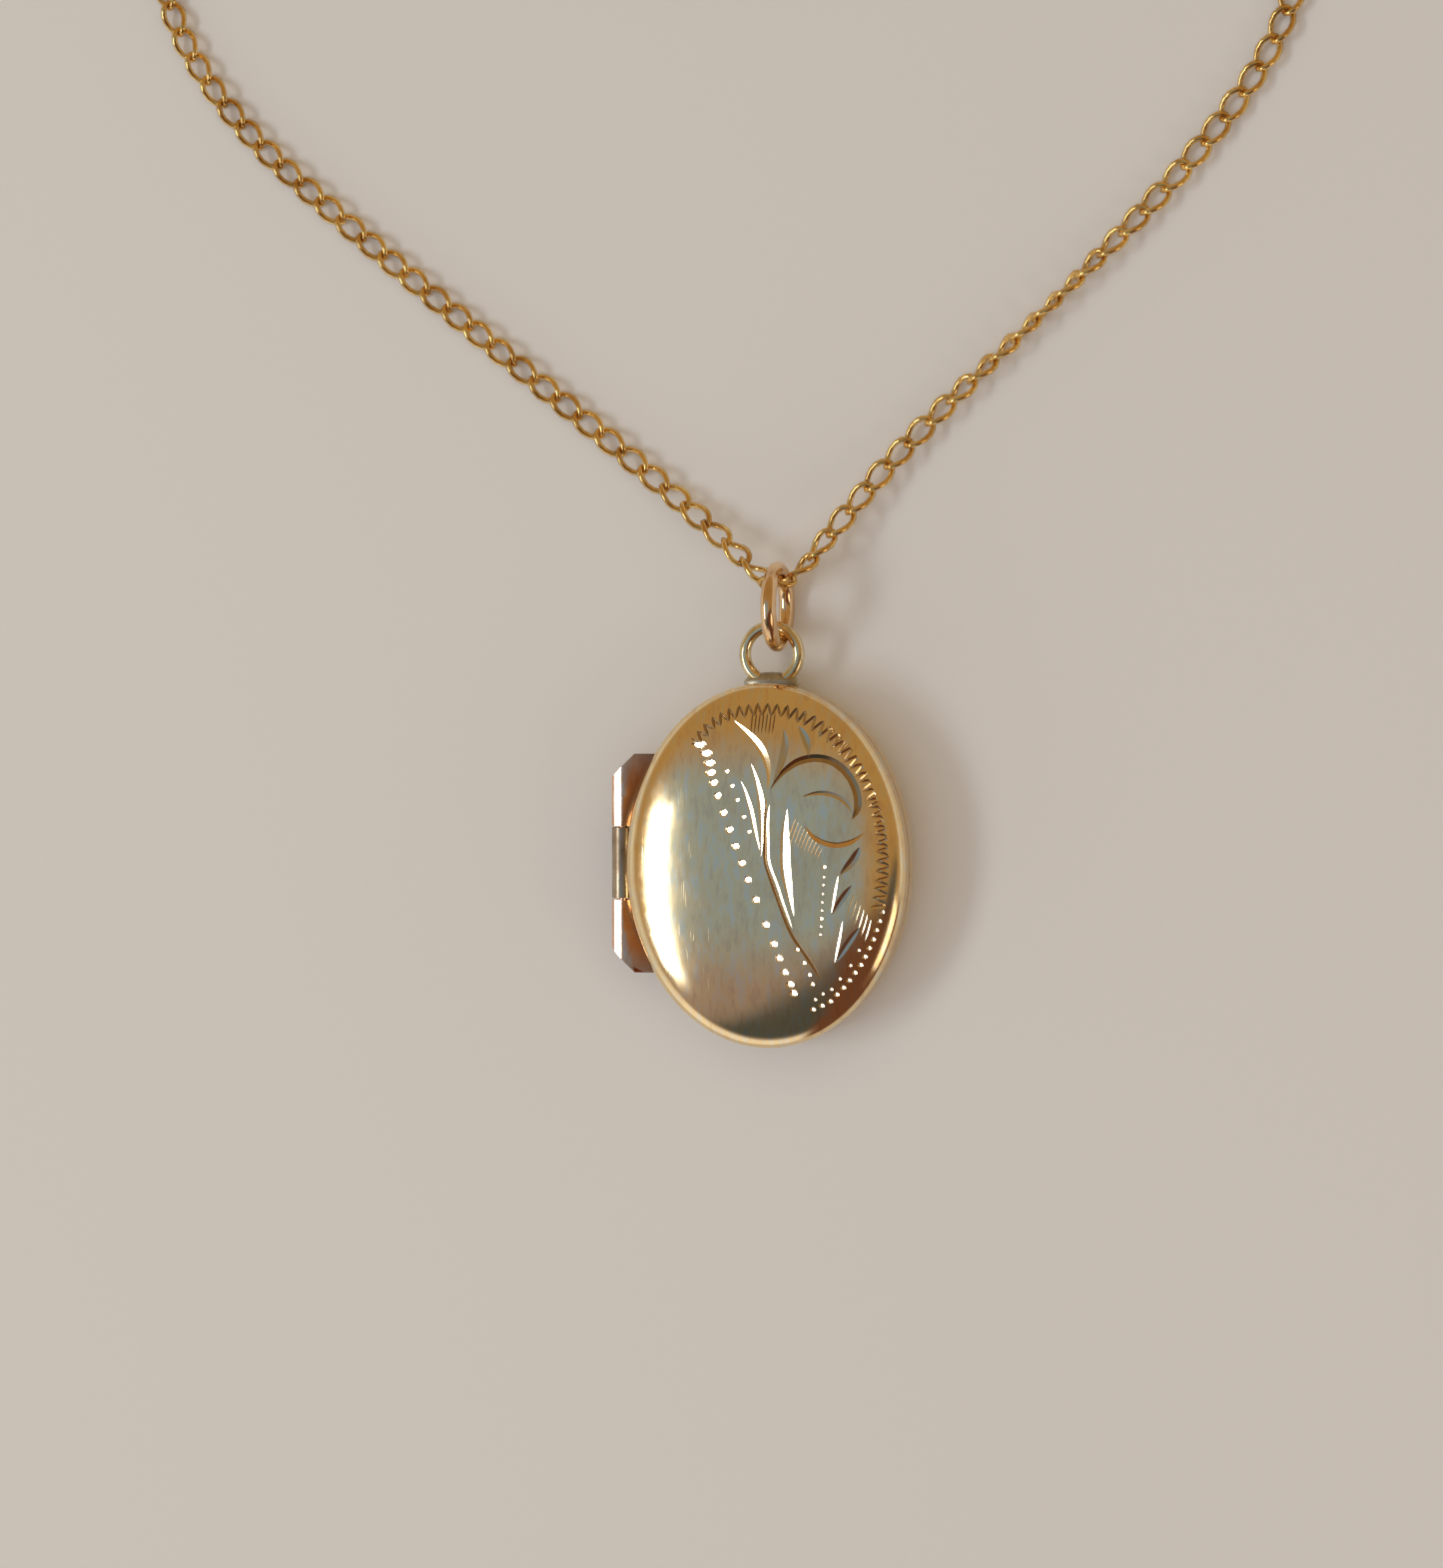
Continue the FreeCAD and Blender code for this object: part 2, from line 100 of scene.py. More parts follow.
def panel(name, place, size, power, colour, turn=0.0):
    """A soft rectangular light that looks at the locket, turned in its own plane."""
    data = bpy.data.lights.new(name, "AREA")
    data.shape = "RECTANGLE"
    data.size, data.size_y = size
    data.energy = power
    data.color = colour
    light = bpy.data.objects.new(name, data)
    light.location = place
    facing = (-Vector(place)).to_track_quat("-Z", "Y")
    light.rotation_euler = (facing @ Quaternion((0, 0, 1), turn)).to_euler()
    bpy.context.scene.collection.objects.link(light)


panel("window", (-0.354, -0.078, 0.349), (0.26, 0.09), 0.50, (0.92, 0.97, 1.0), -0.28)
panel("right_fill", (0.42, -0.22, 0.22), (0.2, 0.2), 0.25, (1.0, 0.86, 0.68))

# daylight for the table alone: the gold shows no image of it
daylight_data = bpy.data.lights.new("daylight", "SUN")
daylight_data.energy = 0.55
daylight_data.angle = math.radians(100)
daylight_data.color = (0.90, 0.96, 1.0)
daylight = bpy.data.objects.new("daylight", daylight_data)
daylight.visible_glossy = False
bpy.context.scene.collection.objects.link(daylight)

room = bpy.data.worlds.new("room")
room.use_nodes = True
bpy.context.scene.world = room
room_nodes = room.node_tree.nodes
room_links = room.node_tree.links
heading = room_nodes.new("ShaderNodeTexCoord")
pale_horizon = (0.74, 0.73, 0.71)


def rising(direction, start, end):
    """0 where the view reaches less than one share of a direction, 1 beyond another."""
    share = room_nodes.new("ShaderNodeVectorMath")
    share.operation = "DOT_PRODUCT"
    share.inputs[1].default_value = direction
    room_links.new(heading.outputs["Generated"], share.inputs[0])
    step = room_nodes.new("ShaderNodeMapRange")
    step.interpolation_type = "SMOOTHSTEP"
    step.inputs["From Min"].default_value = start
    step.inputs["From Max"].default_value = end
    room_links.new(share.outputs["Value"], step.inputs["Value"])
    return step.outputs["Result"]


def painted(under, colour, *amounts):
    """Another colour laid over the room where all the amounts are 1, or over the bare horizon."""
    amount = amounts[0]
    for other in amounts[1:]:
        both = room_nodes.new("ShaderNodeMath")
        both.operation = "MULTIPLY"
        room_links.new(amount, both.inputs[0])
        room_links.new(other, both.inputs[1])
        amount = both.outputs["Value"]
    mix = room_nodes.new("ShaderNodeMix")
    mix.data_type = "RGBA"
    room_links.new(amount, mix.inputs["Factor"])
    if under is None:
        mix.inputs["A"].default_value = (*pale_horizon, 1)
    else:
        room_links.new(under, mix.inputs["A"])
    mix.inputs["B"].default_value = (*colour, 1)
    return mix.outputs["Result"]


warm_walls = painted(None, (0.43, 0.28, 0.12), rising((0, 0.25, 1), 0.12, 0.44))
front_glow = painted(
    warm_walls, (1.0, 0.93, 0.88), rising((0, -1, 0), 0.40, 0.62), rising((0, 0, -1), -0.52, -0.36)
)
pink_wall = painted(
    front_glow, (0.33, 0.27, 0.27), rising((0, -1, 0), 0.22, 0.34), rising((0, 0, 1), 0.40, 0.60)
)
cool_ceiling = painted(
    pink_wall,
    (0.29, 0.38, 0.50),
    rising((0, 0, 1), 0.55, 0.75),
    rising((1, 0, 0), -0.85, -0.60),
    rising((-1, 0, 0), -0.34, -0.14),
    rising((0, -1, 0), -0.34, -0.12),
    rising((0, 1, 0), -0.40, -0.20),
)
dark_corner = painted(
    cool_ceiling,
    (0.075, 0.085, 0.09),
    rising((0.45, -1, 0), 0.30, 0.44),
    rising((0, 0, 1), 0.46, 0.62),
)
russet_corner = painted(
    dark_corner, (0.15, 0.062, 0.035), rising((1, 0, 0), 0.05, 0.18), rising((0, -1, 0), 0.18, 0.28)
)
room_links.new(russet_corner, room_nodes["Background"].inputs["Color"])
room_nodes["Background"].inputs["Strength"].default_value = 0.95


# ---------------------------------------------------------------------------------------------
# Curb chain: round gold wire, each link twisted so that the row lies flat, soldered shut.
# One cord from the bolt ring through the bail to a neat coil, and a short tail to the clasp
# ---------------------------------------------------------------------------------------------
def gold(name, colour, deep, roughness, grain, wear_and_painted_light=False):
    """Polished gold, deeper in patches; with wear and painted light it also has streaks, scratches,
    and the tints its mesh carries: dirt in cuts, painted highlight and painted shade.
    """
    material = bpy.data.materials.new(name)
    material.use_nodes = True
    nodes = material.node_tree.nodes
    links = material.node_tree.links
    shader = nodes["Principled BSDF"]
    shader.inputs["Metallic"].default_value = 1.0
    place = nodes.new("ShaderNodeTexCoord")

    def noise(stretch, detail):
        lay = nodes.new("ShaderNodeMapping")
        lay.inputs["Scale"].default_value = stretch
        links.new(place.outputs["Object"], lay.inputs["Vector"])
        texture = nodes.new("ShaderNodeTexNoise")
        texture.inputs["Scale"].default_value = 1.0
        texture.inputs["Detail"].default_value = detail
        texture.inputs["Roughness"].default_value = 0.6
        links.new(lay.outputs["Vector"], texture.inputs["Vector"])
        return texture.outputs["Fac"]

    def ranged(value, low, high, to_low=0.0, to_high=1.0):
        step = nodes.new("ShaderNodeMapRange")
        step.inputs["From Min"].default_value = low
        step.inputs["From Max"].default_value = high
        step.inputs["To Min"].default_value = to_low
        step.inputs["To Max"].default_value = to_high
        links.new(value, step.inputs["Value"])
        return step.outputs["Result"]

    def mixed(amount, under, over):
        mix = nodes.new("ShaderNodeMix")
        mix.data_type = "RGBA"
        links.new(amount, mix.inputs["Factor"])
        for socket, value in (("A", under), ("B", over)):
            if isinstance(value, tuple):
                mix.inputs[socket].default_value = (*value, 1)
            else:
                links.new(value, mix.inputs[socket])
        return mix.outputs["Result"]

    patches = noise((grain, 0.6 * grain, grain), 4.0)
    surface = mixed(ranged(patches, 0.42, 0.72), colour, deep)
    finish = ranged(patches, 0.3, 0.75, 0.7 * roughness, 1.6 * roughness)
    if wear_and_painted_light:
        streaks = noise((6 * grain, 1.6 * grain, grain), 3.0)
        surface = mixed(ranged(streaks, 0.50, 0.66, 0, 0.55), surface, (0.74, 0.75, 0.66))
        surface = mixed(ranged(streaks, 0.46, 0.34, 0, 0.4), surface, (0.66, 0.47, 0.33))
        # the tints the mesh carries: dirt left in the cuts, and painted highlight and painted shade
        dirt_and_light_tint = nodes.new("ShaderNodeAttribute")
        dirt_and_light_tint.attribute_name = "dirt_and_painted_light"
        surface = mixed(dirt_and_light_tint.outputs["Alpha"], surface, dirt_and_light_tint.outputs["Color"])
        scratches = ranged(noise((15000, 420, 420), 1.0), 0.70, 0.80)
        rubbed = noise((9000, 1500, 1500), 2.0)
        normal = None
        for height, strength, distance in ((scratches, 0.35, 0.003), (rubbed, 0.30, 0.0016)):
            bump = nodes.new("ShaderNodeBump")
            bump.inputs["Strength"].default_value = strength
            bump.inputs["Distance"].default_value = distance * MM
            links.new(height, bump.inputs["Height"])
            if normal is not None:
                links.new(normal, bump.inputs["Normal"])
            normal = bump.outputs["Normal"]
        links.new(normal, shader.inputs["Normal"])
    links.new(surface, shader.inputs["Base Color"])
    links.new(finish, shader.inputs["Roughness"])
    return material


def finished(name, mesh, body, materials, stands_for=()):
    """Puts a finished mesh in the scene, on its body, in place of its CAD nodes."""
    piece = bpy.data.objects.new(name, mesh)
    bpy.context.scene.collection.objects.link(piece)
    for material in materials:
        mesh.materials.append(material)
    if stands_for:
        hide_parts(*stands_for)
    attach(piece, body)
    return piece


chain_gold = gold("chain_gold", (0.90, 0.61, 0.22), (0.58, 0.33, 0.10), 0.12, 900)

link_pitch = 1.54 * MM
run_points = [
    (18.0, 61.0, 1.5),
    (21.4, 60.7, 0.8),
    (25.1, 57.2, 0.42),
    (27.6, 51.0, 0.42),
    (27.0, 43.6, 0.42),
    (22.4, 36.8, 0.48),
    (14.6, 29.0, 0.76),
    (7.0, 22.1, 0.62),
    (3.15, 17.4, 1.4),
    (1.2, 14.72, 2.4),
    (-0.2, 14.72, 2.4),
    (-2.4, 16.7, 1.4),
    (-7.1, 20.5, 0.42),
    (-14.6, 26.4, 0.42),
    (-22.9, 33.0, 0.42),
    (-30.5, 39.5, 0.42),
    (-34.6, 46.2, 0.42),
    (-34.9, 54.2, 0.42),
    (-30.6, 61.3, 0.42),
    (-23.0, 66.0, 0.42),
    (-13.6, 67.0, 0.42),
    (-5.0, 66.4, 0.42),
]
tail_points = [
    (-1.0, 65.2, 1.25),
    (3.9, 63.2, 1.3),
    (8.6, 61.0, 1.5),
]

coil_low, coil_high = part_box("chain_coil")
coil_centre = (coil_low + coil_high) / 2 / MM
coil_wide = 9.3
coil_narrow = 6.35
coil_turns = 5.0
points_each_turn = 14
lying_height = 0.42
layer_step = 0.83
coil_points = []
coil_steps = round(coil_turns * points_each_turn)
for step in range(1, coil_steps + 1):
    done = step / coil_steps
    # the first half of the turns winds inwards on the table, the second half outwards on top
    inwards = 1 - abs(2 * done - 1)
    radius = coil_wide + (coil_narrow - coil_wide) * inwards
    turn = math.pi / 2 - done * (2 * math.pi * coil_turns + math.radians(25))
    climb = min(1, max(0, (done - 0.44) / 0.12))
    wander = 0.06 * math.sin(7 * turn) + 0.05 * math.sin(3.1 * turn)
    coil_points.append(
        (
            coil_centre.x + (radius + wander) * math.cos(turn),
            coil_centre.y + (radius + wander) * math.sin(turn),
            lying_height + layer_step * climb,
        )
    )

route = run_points + coil_points + tail_points
spline_data = bpy.data.curves.new("chain_route", "CURVE")
spline_data.dimensions = "3D"
spline = spline_data.splines.new("NURBS")
spline.points.add(len(route) - 1)
for point, place in zip(spline.points, route):
    point.co = (*(Vector(place) * MM), 1)
spline.order_u = 3
spline.use_endpoint_u = True
spline.resolution_u = 8
route_curve = bpy.data.objects.new("chain_route", spline_data)
bpy.context.scene.collection.objects.link(route_curve)
line_mesh = bpy.data.meshes.new_from_object(
    route_curve.evaluated_get(bpy.context.evaluated_depsgraph_get())
)
bpy.data.objects.remove(route_curve)
chain_line = [vertex.co.copy() for vertex in line_mesh.vertices]

# how far each link is turned about the chain, by its distance along from the bail
link_turns = [
    (-60, 0), (-36, 4), (-30, 12), (-25, 38), (-20, 74), (-17, 66), (-12, 24), (-8, 12),
    (-4.5, 26), (-2.4, 52), (0, 88), (2.4, 62), (4.5, 44), (8, 22), (13, 6), (20, -4), (28, 5),
    (40, -3), (60, 2),
]  # fmt: skip
bail_place = Vector(run_points[9]).lerp(Vector(run_points[10]), 0.5) * MM
at_bail = min(range(len(chain_line)), key=lambda i: (chain_line[i] - bail_place).length)
travelled = [0.0]
for before, after in zip(chain_line, chain_line[1:]):
    travelled.append(travelled[-1] + (after - before).length)
from_bail = (np.array(travelled) - travelled[at_bail]) / MM
turns = np.interp(from_bail, [t[0] for t in link_turns], [t[1] for t in link_turns])
# no two links lie quite alike
turns += 5 * np.sin(from_bail * 1.9) + 4 * np.sin(from_bail * 0.83 + 1.0)
roll = line_mesh.attributes.new("roll", "FLOAT", "POINT")
roll.data.foreach_set("value", np.radians(turns).astype(np.float32))


links_tree = bpy.data.node_groups.new("curb_links", "GeometryNodeTree")
links_tree.interface.new_socket("Geometry", in_out="INPUT", socket_type="NodeSocketGeometry")
link_inputs = {
    "Half Length": 0.935 * MM,
    "Half Width": 0.545 * MM,
    "Wire Radius": 0.155 * MM,
    "End Twist": math.radians(45),
    "Pitch": link_pitch,
}
for title, value in link_inputs.items():
    socket = links_tree.interface.new_socket(title, in_out="INPUT", socket_type="NodeSocketFloat")
    socket.default_value = value
links_tree.interface.new_socket("Material", in_out="INPUT", socket_type="NodeSocketMaterial")
links_tree.interface.new_socket("Geometry", in_out="OUTPUT", socket_type="NodeSocketGeometry")


def link_node(kind, **settings):
    """A node of the tree that makes the links, with its settings."""
    node = links_tree.nodes.new(kind)
    for key, value in settings.items():
        setattr(node, key, value)
    return node


given = link_node("NodeGroupInput")
made = link_node("NodeGroupOutput")
wire = links_tree.links.new
loop = link_node("GeometryNodeCurvePrimitiveCircle")
loop.inputs["Resolution"].default_value = 16
loop.inputs["Radius"].default_value = 1.0
around = link_node("GeometryNodeInputPosition")
around_parts = link_node("ShaderNodeSeparateXYZ")
wire(around.outputs["Position"], around_parts.inputs["Vector"])
proportions = link_node("ShaderNodeCombineXYZ")
wire(given.outputs["Half Length"], proportions.inputs["X"])
wire(given.outputs["Half Width"], proportions.inputs["Y"])
oval_place = link_node("ShaderNodeVectorMath", operation="MULTIPLY")
wire(around.outputs["Position"], oval_place.inputs[0])
wire(proportions.outputs["Vector"], oval_place.inputs[1])
twist_here = link_node("ShaderNodeMath", operation="MULTIPLY")
wire(around_parts.outputs["X"], twist_here.inputs[0])
wire(given.outputs["End Twist"], twist_here.inputs[1])
twisted = link_node("ShaderNodeVectorRotate", rotation_type="X_AXIS")
wire(oval_place.outputs["Vector"], twisted.inputs["Vector"])
wire(twist_here.outputs["Value"], twisted.inputs["Angle"])
shaped = link_node("GeometryNodeSetPosition")
wire(loop.outputs["Curve"], shaped.inputs["Geometry"])
wire(twisted.outputs["Vector"], shaped.inputs["Position"])
section = link_node("GeometryNodeCurvePrimitiveCircle")
section.inputs["Resolution"].default_value = 6
wire(given.outputs["Wire Radius"], section.inputs["Radius"])
link_body = link_node("GeometryNodeCurveToMesh")
wire(shaped.outputs["Geometry"], link_body.inputs["Curve"])
wire(section.outputs["Curve"], link_body.inputs["Profile Curve"])

as_curve = link_node("GeometryNodeMeshToCurve")
wire(given.outputs["Geometry"], as_curve.inputs["Mesh"])
spaced = link_node("GeometryNodeResampleCurve", mode="LENGTH")
wire(as_curve.outputs["Curve"], spaced.inputs["Curve"])
wire(given.outputs["Pitch"], spaced.inputs["Length"])
along = link_node("GeometryNodeInputTangent")
yaw = link_node("FunctionNodeAlignRotationToVector", axis="X", pivot_axis="Z")
wire(along.outputs["Tangent"], yaw.inputs["Vector"])
pitch = link_node("FunctionNodeAlignRotationToVector", axis="X", pivot_axis="Y")
wire(yaw.outputs["Rotation"], pitch.inputs["Rotation"])
wire(along.outputs["Tangent"], pitch.inputs["Vector"])
roll_here = link_node("GeometryNodeInputNamedAttribute", data_type="FLOAT")
roll_here.inputs["Name"].default_value = "roll"
roll_turn = link_node("FunctionNodeAxisAngleToRotation")
roll_turn.inputs["Axis"].default_value = (1, 0, 0)
wire(roll_here.outputs["Attribute"], roll_turn.inputs["Angle"])
rolled = link_node("FunctionNodeRotateRotation", rotation_space="LOCAL")
wire(pitch.outputs["Rotation"], rolled.inputs["Rotation"])
wire(roll_turn.outputs["Rotation"], rolled.inputs["Rotate By"])
strung = link_node("GeometryNodeInstanceOnPoints")
wire(spaced.outputs["Curve"], strung.inputs["Points"])
wire(link_body.outputs["Mesh"], strung.inputs["Instance"])
wire(rolled.outputs["Rotation"], strung.inputs["Rotation"])
real = link_node("GeometryNodeRealizeInstances")
wire(strung.outputs["Instances"], real.inputs["Geometry"])
smooth = link_node("GeometryNodeSetShadeSmooth")
wire(real.outputs["Geometry"], smooth.inputs["Geometry"])
coated = link_node("GeometryNodeSetMaterial")
wire(smooth.outputs["Geometry"], coated.inputs["Geometry"])
wire(given.outputs["Material"], coated.inputs["Material"])
wire(coated.outputs["Geometry"], made.inputs["Geometry"])


def grown(name, base_mesh, tree, settings):
    """The plain mesh that a Geometry Nodes tree makes from a base mesh."""
    holder = bpy.data.objects.new(name, base_mesh)
    bpy.context.scene.collection.objects.link(holder)
    modifier = holder.modifiers.new(name, "NODES")
    modifier.node_group = tree
    for item in tree.interface.items_tree:
        if item.item_type == "SOCKET" and item.in_out == "INPUT" and item.name in settings:
            modifier[item.identifier] = settings[item.name]
    result = bpy.data.meshes.new_from_object(
        holder.evaluated_get(bpy.context.evaluated_depsgraph_get())
    )
    bpy.data.objects.remove(holder)
    return result


link_mesh = grown("curb_links", line_mesh, links_tree, {**link_inputs, "Material": chain_gold})
link_mesh.materials.clear()
chain = finished(
    "curb_chain",
    link_mesh,
    "chain",
    [chain_gold],
    ("chain_run", "chain_coil", "chain_tail"),
)

# ---------------------------------------------------------------------------------------------
# Clasp: a hollow bolt ring with its sprung bolt and eye, the jump ring that joins it to the
# chain, and the catch ring on the other end.  The bolt ring's own pieces keep their CAD shapes
# ---------------------------------------------------------------------------------------------
def coat(material, *names):
    """Gives CAD pieces that keep their shape their real finish."""
    for name in names:
        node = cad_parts[name]
        if not node.material_slots:
            node.data.materials.append(material)
        for slot in node.material_slots:
            slot.material = material


def ring_mesh(name, node, axis, sides, steps):
    """A ring of round wire, as large as its CAD node, lying square to one axis."""
    low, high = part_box(node)
    centre = (low + high) / 2
    reach = (high - low) / 2
    wire_radius = reach[axis]
    others = [i for i in range(3) if i != axis]
    ring_radius = max(reach[i] for i in others) - wire_radius
    points = []
    for step in range(steps):
        turn = 2 * math.pi * step / steps
        for side in range(sides):
            lean = 2 * math.pi * side / sides
            out = ring_radius + wire_radius * math.cos(lean)
            place = [0.0, 0.0, 0.0]
            place[others[0]] = out * math.cos(turn)
            place[others[1]] = out * math.sin(turn)
            place[axis] = wire_radius * math.sin(lean)
            points.append(centre + Vector(place))
    faces = []
    for step in range(steps):
        for side in range(sides):
            a = step * sides + side
            b = step * sides + (side + 1) % sides
            c = ((step + 1) % steps) * sides + (side + 1) % sides
            d = ((step + 1) % steps) * sides + side
            faces.append((a, d, c, b) if axis != 1 else (a, b, c, d))
    mesh = bpy.data.meshes.new(name)
    mesh.from_pydata(points, [], faces)
    mesh.shade_smooth()
    return mesh


end_ring = finished(
    "end_jump_ring",
    ring_mesh("end_jump_ring", "chain_end_ring", 1, 12, 40),
    "chain",
    [chain_gold],
    ("chain_end_ring",),
)
catch = finished(
    "catch_jump_ring",
    ring_mesh("catch_jump_ring", "catch_ring", 1, 12, 40),
    "chain",
    [chain_gold],
    ("catch_ring",),
)
coat(chain_gold, "bolt_ring_body", "bolt_ring_eye", "bolt")
spring_steel = gold("spring_steel", (0.62, 0.62, 0.62), (0.4, 0.4, 0.42), 0.25, 2000)
coat(spring_steel, "bolt_spring")

# ---------------------------------------------------------------------------------------------
# The two halves: thin sheet pressed to a shallow dome with a straight wall and a rounded corner.
# Both have the same section, turned about the joint; a channel for the hinge runs down the left
# ---------------------------------------------------------------------------------------------
back_low, back_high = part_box("back_cover")
half_width = back_high.x / MM
half_height = back_high.y / MM
seam_height = (back_high.z - joint_height) / MM
wall_height = 1.15
dome_rise = 1.28
dome_spread = 1.12
sheet = 0.38
corner_reach = 0.72
corner_drop = 0.45
dome_depth = dome_rise / (1 - math.sqrt(1 - 1 / dome_spread**2))
dome_centre = wall_height + dome_rise - dome_depth
hinge_side = (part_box("hinge_pin")[0].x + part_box("hinge_pin")[1].x) / 2 / MM
hinge_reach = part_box("knuckle_upper")[1].y / MM + 0.1
channel_radius = 0.68
round_steps = 240
inner_rings = 26

cover_gold = gold("cover_gold", (0.93, 0.72, 0.40), (0.82, 0.60, 0.33), 0.13, 520, wear_and_painted_light=True)
inner_gold = gold("inner_gold", (0.88, 0.68, 0.38), (0.70, 0.50, 0.25), 0.30, 700)


def oval(inset, step):
    """A point of the oval, set in from the outside of the wall, in millimetres."""
    turn = 2 * math.pi * step / round_steps
    return (half_width - inset) * math.cos(turn), (half_height - inset) * math.sin(turn)


def dome_height(x, y, inset=0.0):
    """Height of the dome above the joint, on the outside or on a surface set in from it."""
    wide = dome_spread * (half_width - inset)
    tall = dome_spread * (half_height - inset)
    inside = np.maximum(0, 1 - (x / wide) ** 2 - (y / tall) ** 2)
    return dome_centre + (dome_depth - inset) * np.sqrt(inside)


def half_shell(name, crown_points, crown_faces, turned_over, tints=None):
    """Closed shell of one half, from its crown, whose first points are its rim, to its inside."""
    points = [tuple(point) for point in crown_points]
    faces = [tuple(face) for face in crown_faces]
    crown_count = len(faces)
    rings = [list(range(round_steps))]

    def ring(place):
        rings.append([len(points) + step for step in range(round_steps)])
        points.extend(place(step) for step in range(round_steps))

    def corner(t):
        def place(step):
            x_edge, y_edge = oval(0, step)
            x_in, y_in = oval(corner_reach, step)
            edge = Vector((x_edge, y_edge, float(dome_height(x_edge, y_edge))))
            start = Vector((x_in, y_in, float(dome_height(x_in, y_in))))
            end = Vector((x_edge, y_edge, edge.z - corner_drop))
            return tuple(start * (1 - t) ** 2 + edge * 2 * t * (1 - t) + end * t**2)

        return place

    for step in range(1, 13):
        ring(corner(step / 12))
    for height in (0.5, 0.25, 0.12, -seam_height):
        ring(lambda step, height=height: (*oval(0, step), height))
    seam_ring = len(rings) - 1
    for height in (-seam_height, 0.2, 0.4, 0.6, 0.75):
        ring(lambda step, height=height: (*oval(sheet, step), height))
    for count in range(inner_rings):
        share = 1 - count / inner_rings

        def inner(step, share=share):
            x, y = oval(sheet, step)
            return x * share, y * share, float(dome_height(x * share, y * share, sheet))

        ring(inner)
    points.append((0, 0, float(dome_height(0, 0, sheet))))
    for first, second in zip(rings, rings[1:]):
        for step in range(round_steps):
            following = (step + 1) % round_steps
            faces.append((first[step], second[step], second[following], first[following]))
    for step in range(round_steps):
        following = (step + 1) % round_steps
        faces.append((rings[-1][step], len(points) - 1, rings[-1][following]))
    inside_first = crown_count + seam_ring * round_steps

    # the hinge's channel: what lies within its radius is pressed back to it
    shaped = []
    for x, y, z in points:
        across = x - hinge_side
        away = math.hypot(across, z)
        if abs(y) < hinge_reach and away < channel_radius:
            x = hinge_side + across / away * channel_radius
            z = z / away * channel_radius
        shaped.append((x, y, z))

    sign = -1 if turned_over else 1
    mesh = bpy.data.meshes.new(name)
    mesh.from_pydata(
        [(x * MM, y * MM, joint_height + sign * z * MM) for x, y, z in shaped],
        [],
        [face[::-1] for face in faces] if turned_over else faces,
    )
    mesh.shade_smooth()
    mesh.set_sharp_from_angle(angle=math.radians(9))
    kinds = np.zeros(len(faces), np.int32)
    kinds[inside_first:] = 1
    mesh.polygons.foreach_set("material_index", kinds)
    face_tints = np.zeros((len(faces), 4), np.float32)
    if tints is not None:
        face_tints[:crown_count] = tints
    # the crown's tints: dirt in the cuts and painted highlight on the bright ones
    dirt_and_painted_light = mesh.attributes.new("dirt_and_painted_light", "FLOAT_COLOR", "FACE")
    dirt_and_painted_light.data.foreach_set("color", face_tints.ravel())
    return mesh


def plain_crown(rings=30):
    """The dome without engraving, as rings round its middle."""
    points = [(*oval(corner_reach, step), 0.0) for step in range(round_steps)]
    faces = []
    for count in range(1, rings):
        share = 1 - count / rings
        points.extend(
            tuple(coordinate * share for coordinate in oval(corner_reach, step)) + (0.0,)
            for step in range(round_steps)
        )
        outer = (count - 1) * round_steps
        inner = count * round_steps
        for step in range(round_steps):
            following = (step + 1) % round_steps
            faces.append((outer + step, outer + following, inner + following, inner + step))
    points.append((0.0, 0.0, 0.0))
    last = (rings - 1) * round_steps
    for step in range(round_steps):
        faces.append((last + step, last + (step + 1) % round_steps, len(points) - 1))
    return [(x, y, float(dome_height(x, y))) for x, y, _ in points], faces


crown_points, crown_faces = plain_crown()
# the crown of the back is worn flat where the locket rests
resting = (joint_height - back_low.z) / MM
crown_points = [(x, y, min(z, resting)) for x, y, z in crown_points]
finished(
    "back_half",
    half_shell("back_half", crown_points, crown_faces, True),
    "back",
    [cover_gold, inner_gold],
    ("back_cover",),
)
coat(inner_gold, "back_seat_ring", "catch_lip", "back_picture_rim")

# ---------------------------------------------------------------------------------------------
# Pictures: a cream card under a clear cover in each half, cut to the oval.  A gold rim is pressed
# in over them and holds them down on the seat ring
# ---------------------------------------------------------------------------------------------
card_cream = (0.80, 0.74, 0.62)
card_stock = bpy.data.materials.new("card_stock")
card_stock.use_nodes = True
card_nodes = card_stock.node_tree.nodes
card_links = card_stock.node_tree.links
card_shader = card_nodes["Principled BSDF"]
card_shader.inputs["Roughness"].default_value = 0.9
card_place = card_nodes.new("ShaderNodeTexCoord")
fibres = card_nodes.new("ShaderNodeTexNoise")
fibres.inputs["Scale"].default_value = 2600
fibres.inputs["Detail"].default_value = 6
card_links.new(card_place.outputs["Object"], fibres.inputs["Vector"])
mottled = card_nodes.new("ShaderNodeMix")
mottled.data_type = "RGBA"
mottled.inputs["A"].default_value = (*card_cream, 1)
mottled.inputs["B"].default_value = (*(0.86 * value for value in card_cream), 1)
card_links.new(fibres.outputs["Fac"], mottled.inputs["Factor"])
card_links.new(mottled.outputs["Result"], card_shader.inputs["Base Color"])
coat(card_stock, "back_picture_card", "front_picture_card")
acetate = bpy.data.materials.new("acetate")
acetate.use_nodes = True
acetate_shader = acetate.node_tree.nodes["Principled BSDF"]
acetate_shader.inputs["Base Color"].default_value = (0.97, 0.97, 0.94, 1)
acetate_shader.inputs["Roughness"].default_value = 0.05
acetate_shader.inputs["Alpha"].default_value = 0.12
card_gap = 0.02 * MM


